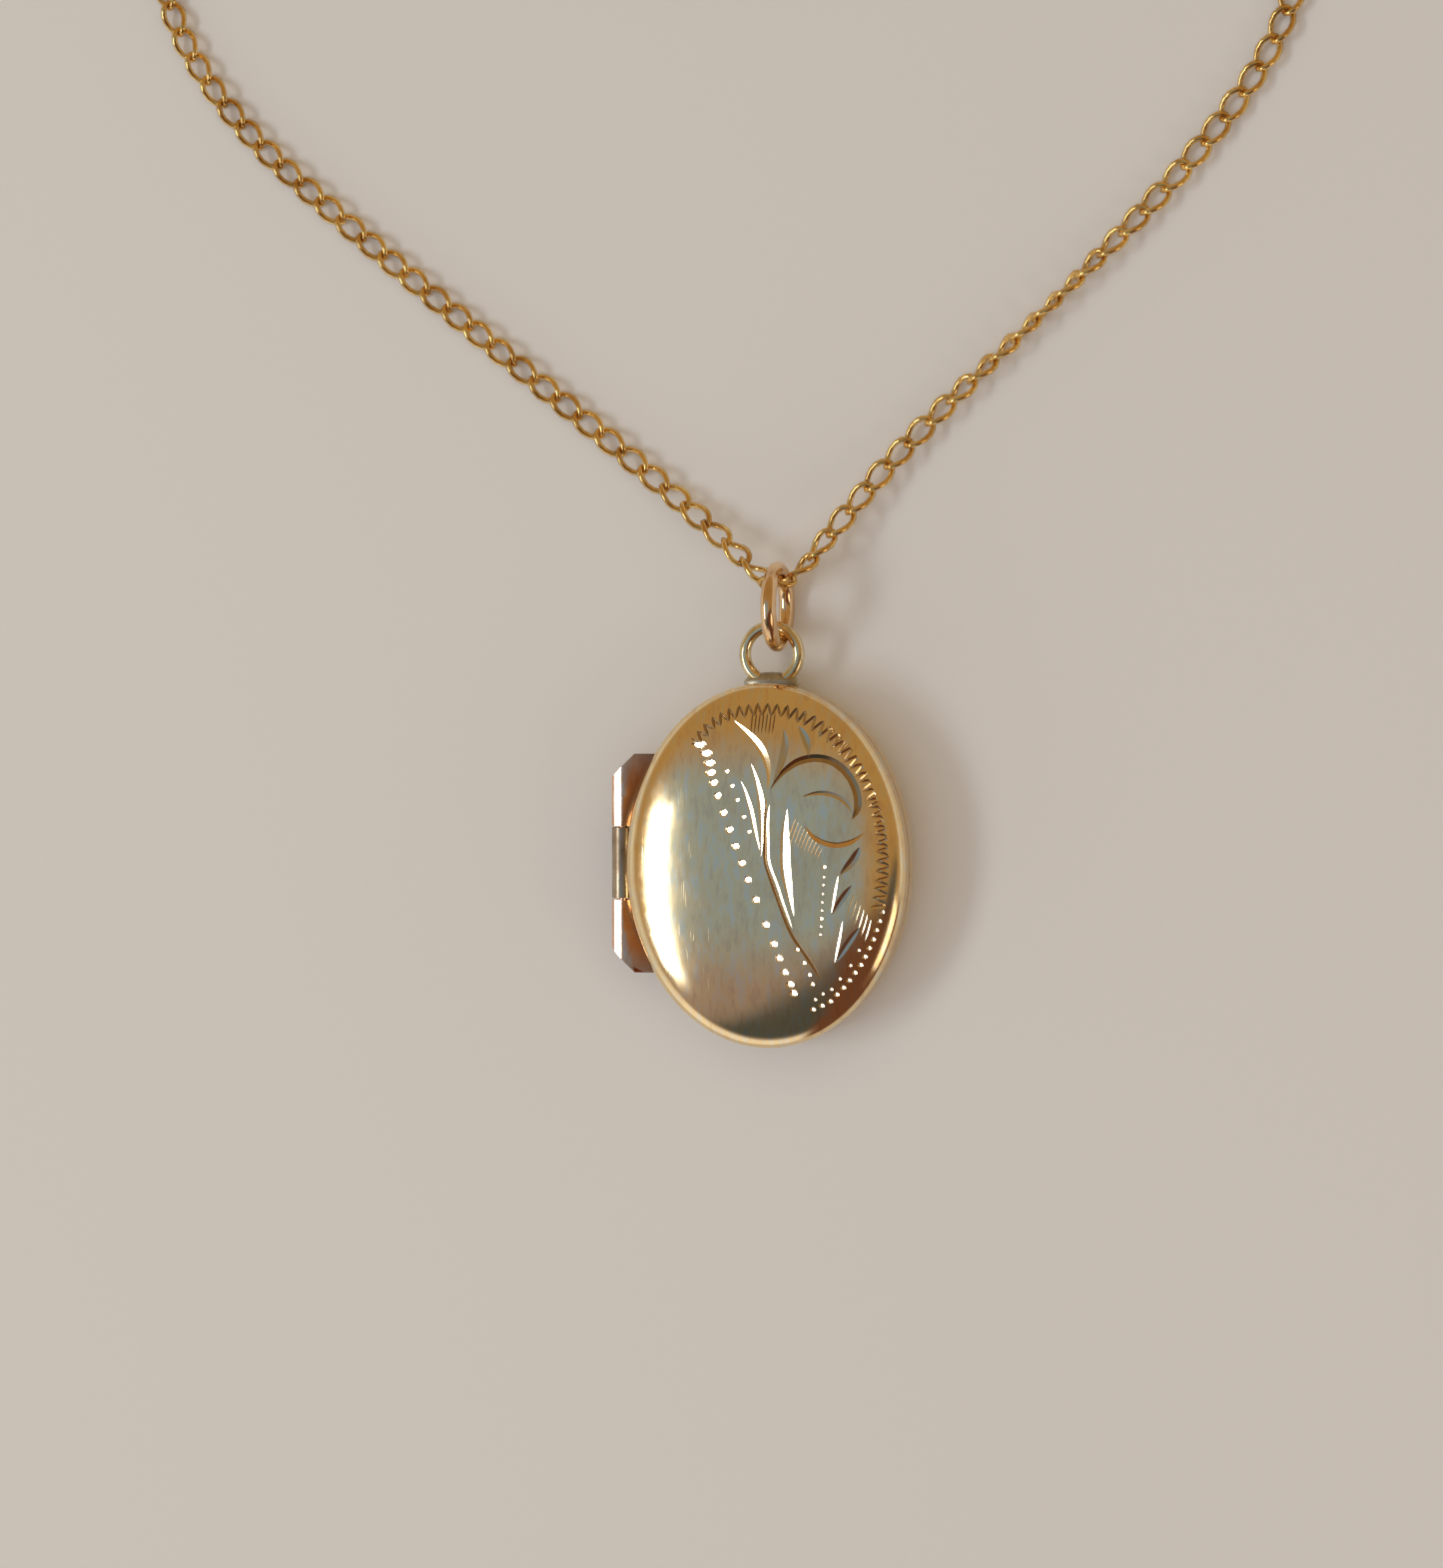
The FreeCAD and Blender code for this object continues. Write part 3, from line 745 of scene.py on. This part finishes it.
def clear_cover(name, node, body, card_below):
    """A thin oval of clear sheet that lies just clear of its card."""
    low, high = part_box(node)
    middle = (low + high) / 2
    wide, tall = (high.x - low.x) / 2, (high.y - low.y) / 2
    under = low.z + (card_gap if card_below else 0)
    over = high.z - (0 if card_below else card_gap)
    steps = 120
    points = []
    for height in (under, over):
        for step in range(steps):
            turn = 2 * math.pi * step / steps
            points.append(
                (middle.x + wide * math.cos(turn), middle.y + tall * math.sin(turn), height)
            )
    faces = [tuple(range(steps))[::-1], tuple(range(steps, 2 * steps))]
    for step in range(steps):
        after = (step + 1) % steps
        faces.append((step, after, steps + after, steps + step))
    mesh = bpy.data.meshes.new(name)
    mesh.from_pydata(points, [], faces)
    finished(name, mesh, body, [acetate], (node,))


clear_cover("back_clear_cover", "back_picture_window", "back", True)
clear_cover("front_clear_cover", "front_picture_window", "cover", False)
coat(inner_gold, "front_seat_ring", "front_picture_rim")

# ---------------------------------------------------------------------------------------------
# Hinge: three soldered knuckles of rosier gold than the covers, on a drawn pin.  The back's middle
# one is painted darker and rougher as shade for its recess; the front's outer two are bright, with
# painted shade where their leaves meet the wall
# ---------------------------------------------------------------------------------------------
rose_gold = gold("hinge_gold", (0.95, 0.57, 0.36), (0.70, 0.33, 0.16), 0.16, 900, wear_and_painted_light=True)
bare_rose = gold("hinge_pin_gold", (0.95, 0.57, 0.36), (0.70, 0.33, 0.16), 0.16, 900)
# a darker, rougher copy of the hinge gold: painted shade for the middle knuckle, which sits back in
# its recess
recess_shaded_rose = gold("recess_shaded_hinge_gold", (0.46, 0.37, 0.26), (0.25, 0.17, 0.11), 0.28, 900)
coat(bare_rose, "hinge_pin")
barrel_radius = 0.6
knuckle_start = 1.95
knuckle_tip = 4.4
knuckle_end = 5.75
wall_bite = 0.22


def shouldered_knuckle(name, sign):
    """An outer knuckle: a barrel rubbed flat at its upper left, and a shoulder down to the wall."""
    # the outline across it, each point with its share of the way from the barrel to the wall
    profile = []
    for step in range(19):
        turn = math.radians(-80 - 153 * step / 18)
        profile.append((barrel_radius * math.cos(turn), barrel_radius * math.sin(turn), 0.0))
    profile.append((0.05, 0.598, 0.0))
    for share, height in ((0.15, 0.585), (0.35, 0.50), (0.6, 0.38), (1, 0.20)):
        profile.append((0.0, height, share))
    profile.append((0.0, 0.06, 1.0))
    profile.append((0.62, 0.06, 0.0))
    for step in range(1, 6):
        turn = math.radians(0 - 80 * step / 6)
        profile.append((barrel_radius * math.cos(turn), barrel_radius * math.sin(turn), 0.0))
    stations = 16
    points = []
    tints = []
    for station in range(stations + 1):
        for across, height, share in profile:
            # painted shade: a brown that darkens the shoulder towards the wall, where the wall
            # shades it
            tints.append((0.40, 0.13, 0.03, 0.9 * share**0.5))
            reach = across
            # the slanted end runs at 45 degrees up to the wall, and a few rounds fit it there
            for _ in range(4):
                end = min(knuckle_tip + (reach + barrel_radius), knuckle_end)
                along = knuckle_start + (end - knuckle_start) * station / stations
                wall = half_width * math.sqrt(1 - (along / half_height) ** 2)
                reach = across + share * (-hinge_side - wall + wall_bite)
            points.append(
                ((hinge_side + reach) * MM, sign * along * MM, joint_height + height * MM)
            )
    count = len(profile)
    faces = []
    for station in range(stations):
        for i in range(count):
            a = station * count + i
            b = station * count + (i + 1) % count
            faces.append((a, b, b + count, a + count)[::-sign])
    for first, order in ((0, 1), (stations * count, -1)):
        faces.append(tuple(range(first, first + count))[:: order * -sign])
    mesh = bpy.data.meshes.new(name)
    mesh.from_pydata(points, [], faces)
    mesh.shade_smooth()
    mesh.set_sharp_from_angle(angle=math.radians(14))
    # the painted shade on the shoulder, for the material to mix in
    shade = mesh.attributes.new("dirt_and_painted_light", "FLOAT_COLOR", "POINT")
    shade.data.foreach_set("color", np.array(tints, np.float32).ravel())
    return mesh


for side_name, sign in (("upper", 1), ("lower", -1)):
    finished(
        "hinge_" + side_name,
        shouldered_knuckle("hinge_" + side_name, sign),
        "cover",
        [rose_gold],
        ("knuckle_" + side_name,),
    )
# the middle knuckle gets the darker copy, as painted shade
coat(recess_shaded_rose, "knuckle_middle")

# ---------------------------------------------------------------------------------------------
# Loop and bail: a ring of paler wire, soldered to the back's wall with a grey fillet, and a heavy
# jump ring bent round the loop and the chain
# ---------------------------------------------------------------------------------------------
pale_gold = gold("loop_gold", (0.86, 0.72, 0.44), (0.52, 0.42, 0.22), 0.15, 1100)
solder_grey = gold("solder", (0.50, 0.46, 0.36), (0.28, 0.24, 0.18), 0.38, 1500)
bail_gold = gold("bail_gold", (0.90, 0.64, 0.38), (0.60, 0.36, 0.16), 0.13, 700)
coat(pale_gold, "top_loop")
coat(solder_grey, "loop_foot")
finished(
    "bail",
    ring_mesh("bail", "bail_ring", 0, 24, 96),
    "bail",
    [bail_gold],
    ("bail_ring",),
)

# ---------------------------------------------------------------------------------------------
# Front half: the same pressing, cut by hand over its right half only.  A graver leaves V-shaped
# lines, and wide facets that rise to the right and catch the window, painted paler as a highlight;
# dirt stays in the fine cuts
# ---------------------------------------------------------------------------------------------
groove_brown = (0.16, 0.07, 0.025)
# the paler gold of fresh cuts, also laid on the cuts that catch the window as a painted highlight
fresh_gold_and_highlight = (1.0, 0.90, 0.70)
# a grey painted on some leaves and on the scroll's inner curl
cut_grey = (0.42, 0.44, 0.38)
cut_corners = []
cut_lines = []
cut_facets = []
crown_wide = half_width - corner_reach
crown_tall = half_height - corner_reach
cut_margin = 0.05


def held_in(point):
    """The point itself, or the place nearer the middle where the rounded corner starts."""
    out = math.hypot(point.x / (crown_wide - cut_margin), point.y / (crown_tall - cut_margin))
    return point / max(1, out)


def cut(line, width, depth, valley=0.5, tint=groove_brown, strength=0.65, ends=(0.12, 0.12)):
    """One stroke of the graver: its line, widest width, greatest depth, where across the width it
    is deepest, the colour of its faces, and over what share of its length each end thins out."""
    given_line = [Vector(point) for point in line]
    smooth_line = []
    for i in range(len(given_line) - 1):
        before = given_line[max(i - 1, 0)]
        start, end = given_line[i], given_line[i + 1]
        after = given_line[min(i + 2, len(given_line) - 1)]
        pieces = max(2 if len(given_line) == 2 else 1, round((end - start).length / 0.22))
        for piece in range(pieces):
            t = piece / pieces
            smooth_line.append(
                0.5
                * (
                    2 * start
                    + (end - before) * t
                    + (2 * before - 5 * start + 4 * end - after) * t**2
                    + (3 * start - before - 3 * end + after) * t**3
                )
            )
    smooth_line.append(given_line[-1])
    last = len(smooth_line) - 1
    rows = []
    for i, place in enumerate(smooth_line):
        heading = smooth_line[min(i + 1, last)] - smooth_line[max(i - 1, 0)]
        side = Vector((heading.y, -heading.x)).normalized()
        share = min(1.0, i / last / ends[0], (1 - i / last) / ends[1])
        share = math.sin(math.pi / 2 * share)
        if share < 0.02:
            rows.append(([len(cut_corners)] * 3, 0.0))
            cut_corners.append(held_in(place))
            continue
        left = held_in(place + side * width * share / 2)
        right = held_in(place - side * width * share / 2)
        rows.append(([len(cut_corners) + j for j in range(3)], depth * share))
        cut_corners.extend((left, left.lerp(right, valley), right))
    colour = (*tint, strength)
    for (first, first_depth), (second, second_depth) in zip(rows, rows[1:]):
        for j in range(3):
            cut_lines.append((first[j], second[j]))
        for outer in (0, 2):
            cut_facets.append(
                ((first[outer], first[1], second[1]), (0.0, first_depth, second_depth), colour)
            )
            cut_facets.append(
                ((first[outer], second[1], second[outer]), (0.0, second_depth, 0.0), colour)
            )


def scoop(x, y, wide, tall, strength=0.6):
    """A short flat dig, whose floor faces left as in all of them, whatever the dome does there."""
    steps = 10
    nudge = 0.01
    floor_x, floor_y = 0.265, 0.045
    rise_x = float(dome_height(x + nudge, y) - dome_height(x - nudge, y)) / (2 * nudge) - floor_x
    rise_y = float(dome_height(x, y + nudge) - dome_height(x, y - nudge)) / (2 * nudge) - floor_y
    middle_depth = math.hypot(rise_x * wide, rise_y * tall)
    rim = len(cut_corners)
    floor = rim + steps
    floor_depths = []
    for share in (1.0, 0.62):
        for step in range(steps):
            turn = 2 * math.pi * step / steps
            across, up = share * wide * math.cos(turn), share * tall * math.sin(turn)
            cut_corners.append(held_in(Vector((x + across, y + up))))
            if share < 1:
                floor_depths.append(middle_depth + rise_x * across + rise_y * up)
    # the scoop's faces are painted paler: fresh-cut gold, and a painted highlight
    tint = (*fresh_gold_and_highlight, strength)
    for step in range(steps):
        after = (step + 1) % steps
        here_depth, after_depth = floor_depths[step], floor_depths[after]
        cut_lines.extend(((rim + step, rim + after), (floor + step, floor + after)))
        cut_facets.append(
            ((rim + step, rim + after, floor + after), (0.0, 0.0, after_depth), tint)
        )
        cut_facets.append(
            ((rim + step, floor + after, floor + step), (0.0, after_depth, here_depth), tint)
        )
    for step in range(1, steps - 1):
        cut_facets.append(
            (
                (floor, floor + step, floor + step + 1),
                (floor_depths[0], floor_depths[step], floor_depths[step + 1]),
                tint,
            )
        )


def along_path(path, spacing):
    """Points at even spacing along a line, each with the direction square to it."""
    corners = [Vector(point) for point in path]
    places = []
    left_over = 0.0
    for start, end in zip(corners, corners[1:]):
        span = (end - start).length
        direction = (end - start) / span
        reached = left_over
        while reached < span:
            places.append((start + direction * reached, Vector((-direction.y, direction.x))))
            reached += spacing
        left_over = reached - span
    return places


# stem and the thin bright line beside it, painted paler as a highlight
cut(
    [(0.45, 3.61), (0.41, 2.5), (0.41, 1.26), (0.44, 0.3), (0.7, -0.53), (1.04, -1.49),
     (1.39, -2.46), (1.79, -3.42), (2.33, -4.25), (2.87, -5.08), (3.26, -5.78)],
    0.2, 0.06,
)  # fmt: skip
cut(
    [(0.62, 3.26), (0.53, 2.51), (0.55, 1.4), (0.62, 0.3), (1.02, -0.8), (1.42, -2.0),
     (1.82, -3.1)],
    0.15, 0.035, 0.2, fresh_gold_and_highlight, 0.6,
)  # fmt: skip

# leaves that catch the light, painted paler as a highlight, from their tips down to the stem
for line, width, depth in (
    ([(-1.42, 7.57), (-0.52, 6.82), (0.09, 6.14), (0.44, 5.39), (0.55, 4.71), (0.48, 4.02)],
     0.40, 0.14),
    ([(-0.41, 5.38), (-0.1, 4.56), (0.17, 3.46), (0.25, 2.5), (0.24, 1.54), (0.2, 0.57)],
     0.34, 0.10),
    ([(-0.93, 4.48), (-0.66, 3.87), (-0.35, 2.91), (-0.13, 1.95), (0.13, 0.91)], 0.26, 0.075),
    ([(1.56, 3.07), (1.48, 2.24), (1.47, 1.14), (1.5, 0.04), (1.68, -1.2), (1.91, -2.45)],
     0.54, 0.155),
    ([(4.21, -0.34), (4.03, -1.17), (3.86, -2.28)], 0.18, 0.068),
    ([(4.42, -2.69), (4.17, -3.81), (3.97, -4.86)], 0.18, 0.075),
):  # fmt: skip
    cut(line, width, depth, 0.1, fresh_gold_and_highlight, 0.75, (0.45, 0.5))

# leaves that stay grey
for line, width in (
    ([(1.24, 7.18), (1.34, 6.5), (1.27, 5.81), (1.07, 5.12), (0.78, 4.43)], 0.42),
    ([(2.0, 7.33), (2.35, 6.78), (2.54, 6.23), (2.59, 5.69)], 0.40),
    ([(5.3, 1.15), (4.95, 0.45), (4.3, -0.3)], 0.42),
    ([(4.91, -0.82), (4.37, -1.59), (3.88, -2.35)], 0.36),
    ([(5.29, -2.97), (4.6, -3.94), (4.02, -4.86)], 0.36),
):
    cut(line, width, 0.05, 0.5, cut_grey, 0.6, (0.4, 0.5))

# scroll: its outer curl, the inner curl and the arc below
cut(
    [(0.62, 4.02), (0.92, 4.5), (1.33, 4.99), (2.01, 5.48), (2.83, 5.69), (3.66, 5.58),
     (4.35, 5.15), (4.84, 4.53), (5.13, 3.78), (5.15, 3.1), (4.89, 2.55)],
    0.40, 0.08, 0.5, groove_brown, 0.6, (0.35, 0.12),
)  # fmt: skip
cut(
    [(2.3, 3.7), (2.95, 3.88), (3.6, 3.88), (4.25, 3.66), (4.75, 3.2), (4.9, 2.75)],
    0.26, 0.035, 0.5, cut_grey, 0.4, (0.4, 0.3),
)  # fmt: skip
cut(
    [(2.5, 2.19), (2.92, 1.64), (3.62, 1.3), (4.3, 1.24), (4.97, 1.45), (5.5, 1.86)],
    0.28, 0.07, 0.8, (0.75, 0.42, 0.14), 0.5, (0.3, 0.3),
)  # fmt: skip

# hatching below the scroll, at the top and at the right; below the scroll and at the right it is
# painted paler as a highlight
for line in range(10):
    share = line / 9
    start = Vector((2.01, 2.59)).lerp(Vector((3.41, 1.1)), share)
    end = Vector((1.56, 1.3)).lerp(Vector((3.14, 0.5)), share)
    cut([start, end], 0.085, 0.022, 0.25, fresh_gold_and_highlight, 0.3, (0.3, 0.5))
for line in range(7):
    cut([(-0.45 + 0.2 * line, 8.0), (-0.5 + 0.19 * line, 6.9)], 0.08, 0.03, ends=(0.3, 0.5))
for line in range(6):
    share = line / 5
    start = Vector((3.35, 6.95)).lerp(Vector((4.3, 6.1)), share)
    cut([start, start + Vector((0.38, 0.42))], 0.08, 0.03, ends=(0.4, 0.4))
for line in range(6):
    start = Vector((5.0, -1.25)).lerp(Vector((5.85, -2.6)), line / 5)
    cut([start, start + Vector((-0.34, -1.15))], 0.09, 0.042, 0.2, fresh_gold_and_highlight, 0.5, (0.4, 0.4))

# wriggled border: the graver is rocked from side to side as it is pushed round the edge
border = [
    (-3.58, 6.44), (-2.68, 7.45), (-1.55, 8.02), (-0.1, 8.24), (1.3, 8.14), (2.43, 7.8),
    (3.85, 6.9), (4.98, 5.75), (5.75, 4.75), (6.25, 3.64), (6.6, 2.27), (6.75, 0.9),
    (6.72, -0.62), (6.42, -2.21), (5.9, -3.7), (5.3, -4.9), (4.5, -6.0), (3.6, -6.95), (2.5, -7.45),
]  # fmt: skip
teeth = along_path(border[:14], 0.25)
for number, ((place, side), (beyond, beyond_side)) in enumerate(zip(teeth, teeth[1:])):
    to_right = min(1, max(0, (place.x - 1) / 4))
    inwards = 0.40 + 0.25 * to_right
    if number % 2:
        ends = [place - inwards * side, beyond + 0.30 * beyond_side]
    else:
        ends = [place + 0.30 * side, beyond - inwards * beyond_side]
    # less dirt is left in the cuts on the right, so their walls show gold
    cut(ends, 0.15 + 0.04 * to_right, 0.05, 0.4, groove_brown, 0.6 - 0.4 * to_right, (0.25, 0.25))
# scooped dots along the lower edge, painted paler as a highlight
for place, side in along_path(border[13:], 0.5):
    scoop(place.x, place.y, 0.15, 0.13)
for x, y in ((2.9, -6.8), (3.3, -6.5), (3.75, -6.25), (4.2, -5.7), (4.75, -5.0), (5.2, -4.2)):
    scoop(x, y, 0.10, 0.10)

# rows of scooped beads down the middle, and the small dots inside, all painted paler as a highlight
bead_row = [
    (-3.30, 6.30), (-2.90, 5.85), (-2.69, 5.35), (-2.60, 4.86), (-2.42, 4.35), (-2.18, 3.68),
    (-1.84, 2.81), (-1.51, 1.95), (-1.19, 1.1), (-0.83, 0.23), (-0.52, -0.62), (-0.09, -1.65),
    (0.42, -2.93), (0.83, -3.93), (1.09, -4.66), (1.37, -5.39), (1.64, -6.01), (1.8, -6.47),
]  # fmt: skip
for number, (x, y) in enumerate(bead_row):
    wide = 0.22 + 0.045 * max(0, 5 - number)
    scoop(x, y, wide, 0.22, 0.75)
for x, y in (
    (-1.7, 4.95), (-1.4, 4.2), (-1.1, 3.49), (-0.74, 2.62), (-0.45, 1.87), (2.06, -4.18),
    (2.39, -4.88), (2.65, -5.5), (2.79, -5.99),
):  # fmt: skip
    scoop(x, y, 0.13, 0.13)
for number, y in enumerate((0.09, -0.42, -0.83, -1.29, -1.73, -2.15, -2.57, -2.98, -3.4)):
    wide = 0.12 if number in (0, 6) else 0.08
    scoop(3.5 - 0.07 * abs(y), y, wide, wide)

# the crown: its rim, the corners of the cuts and a loose grid, joined into triangles
crown_plan = [Vector(oval(corner_reach, step)) for step in range(round_steps)]
cut_start = len(crown_plan)
crown_plan += cut_corners
corner_array = np.array([tuple(point) for point in cut_corners])
spread = 0.3
row_share = 0.866
grid_margin = 0.15
clear_of_cuts = 0.1
for row in range(-32, 33):
    for column in range(-26, 27):
        x = (column + 0.5 * (row % 2)) * spread
        y = row * spread * row_share
        if (x / (crown_wide - grid_margin)) ** 2 + (y / (crown_tall - grid_margin)) ** 2 > 1:
            continue
        if np.min(np.hypot(corner_array[:, 0] - x, corner_array[:, 1] - y)) > clear_of_cuts:
            crown_plan.append(Vector((x, y)))
plan_edges = [(a + cut_start, b + cut_start) for a, b in cut_lines if a != b]
flat, _, flat_faces, sources, _, _ = delaunay_2d_cdt(crown_plan, plan_edges, [], 0, 1e-5)
flat_place = [None] * len(flat)
for index, source in enumerate(sources):
    rim_steps = [number for number in source if number < round_steps]
    if rim_steps:
        flat_place[index] = rim_steps[0]
following_place = round_steps
for index in range(len(flat)):
    if flat_place[index] is None:
        flat_place[index] = following_place
        following_place += 1
front_plan = np.zeros((len(flat), 2))
for index, point in enumerate(flat):
    front_plan[flat_place[index]] = point
front_faces = [tuple(flat_place[corner] for corner in face) for face in flat_faces]
middles = front_plan[np.array(front_faces)].mean(axis=1)


def cut_depths(places):
    """Depth of the cuts below the dome at each place, and the colour left there."""
    depths = np.zeros(len(places))
    colours = np.zeros((len(places), 4))
    for corners, corner_depths, colour in cut_facets:
        a, b, c = (corner_array[corner] for corner in corners)
        low = np.minimum(np.minimum(a, b), c) - 1e-4
        high = np.maximum(np.maximum(a, b), c) + 1e-4
        near = np.nonzero(np.all((places >= low) & (places <= high), axis=1))[0]
        twice_area = (b[0] - a[0]) * (c[1] - a[1]) - (c[0] - a[0]) * (b[1] - a[1])
        if len(near) == 0 or abs(twice_area) < 1e-9:
            continue
        p = places[near]
        share_b = ((p[:, 0] - a[0]) * (c[1] - a[1]) - (c[0] - a[0]) * (p[:, 1] - a[1])) / twice_area
        share_c = ((b[0] - a[0]) * (p[:, 1] - a[1]) - (p[:, 0] - a[0]) * (b[1] - a[1])) / twice_area
        inside = (share_b > -1e-3) & (share_c > -1e-3) & (share_b + share_c < 1.001)
        here = near[inside]
        depth = (
            (1 - share_b - share_c) * corner_depths[0]
            + share_b * corner_depths[1]
            + share_c * corner_depths[2]
        )[inside]
        deeper = depth > depths[here]
        depths[here[deeper]] = depth[deeper]
        colours[here[deeper]] = colour
    return depths, colours


front_heights = dome_height(front_plan[:, 0], front_plan[:, 1]) - cut_depths(front_plan)[0]
front_mesh = half_shell(
    "front_half",
    np.column_stack([front_plan, front_heights]).tolist(),
    front_faces,
    False,
    cut_depths(middles)[1],
)
finished(
    "front_half",
    front_mesh,
    "cover",
    [cover_gold, inner_gold],
    ("front_cover",),
)
